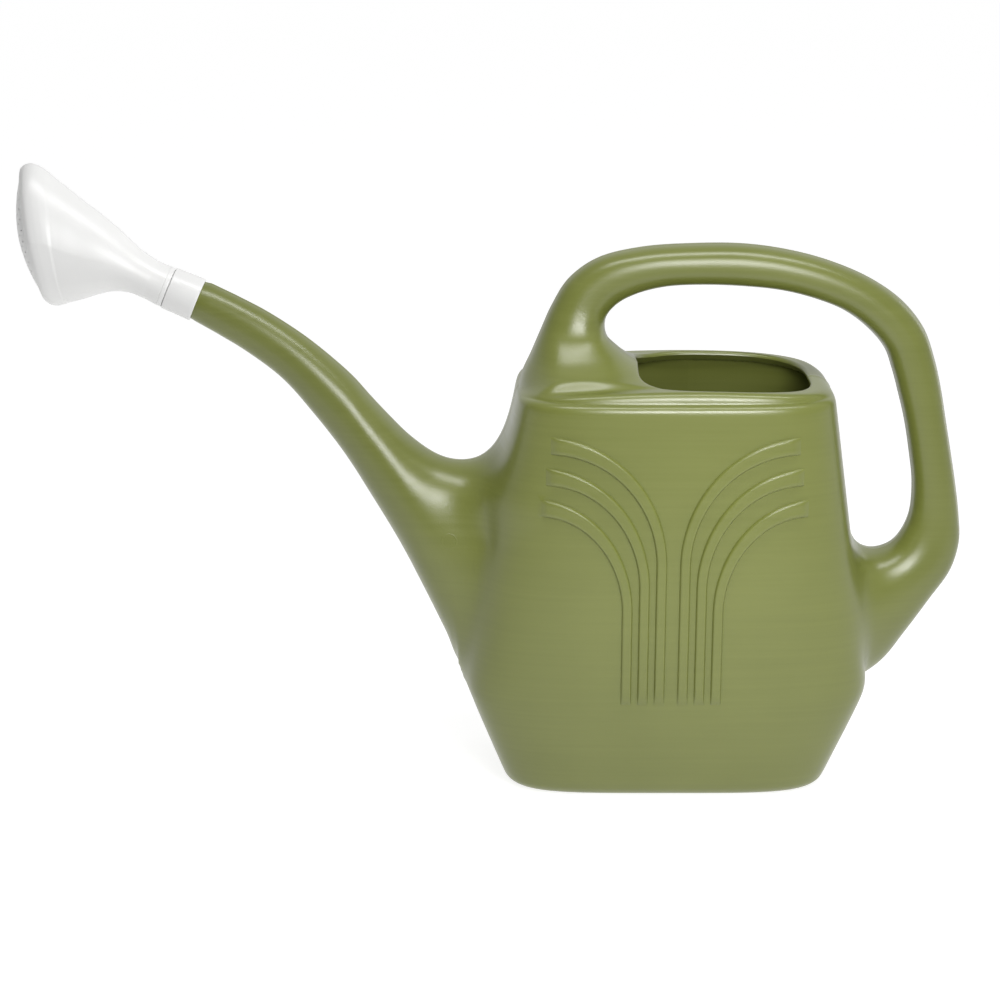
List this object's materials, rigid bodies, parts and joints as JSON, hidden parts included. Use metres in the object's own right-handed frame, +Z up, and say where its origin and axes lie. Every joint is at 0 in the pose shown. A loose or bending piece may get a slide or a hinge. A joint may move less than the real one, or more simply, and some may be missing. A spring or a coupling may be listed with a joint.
{
  "type": "watering can",
  "caption": "Plastic watering can with a tall ribbed tank, a wide filling mouth, a loop handle over the top and down the back, a long rising spout and a pull-off oval rose that turns.",
  "frame": {"origin": "centre of the flat base", "axes": "+Z up, the spout points to -X and the handle's strut is at +X; the can is mirrored about the plane y = 0"},
  "size_m": [0.6426, 0.1435, 0.4297],
  "materials": {
    "can_plastic": "satin, lightly textured",
    "rose_plastic": "satin"
  },
  "bodies": {
    "can": {"tank": "can_plastic", "spout": "can_plastic", "handle": "can_plastic"},
    "collar": {"rose_collar": "rose_plastic"},
    "rose": {"rose_shell": "rose_plastic", "rose_plate": "rose_plastic"}
  },
  "joints": [
    {"name": "rose_pull", "type": "slide", "parent": "can", "child": "collar", "axis": [-0.9171, 0, 0.3987], "range_m": [0, 0.045]},
    {"name": "rose_turn", "type": "hinge", "parent": "collar", "child": "rose", "pos_m": [-0.32, 0, 0.3376], "axis": [-0.9171, 0, 0.3987], "continuous": true}
  ]
}
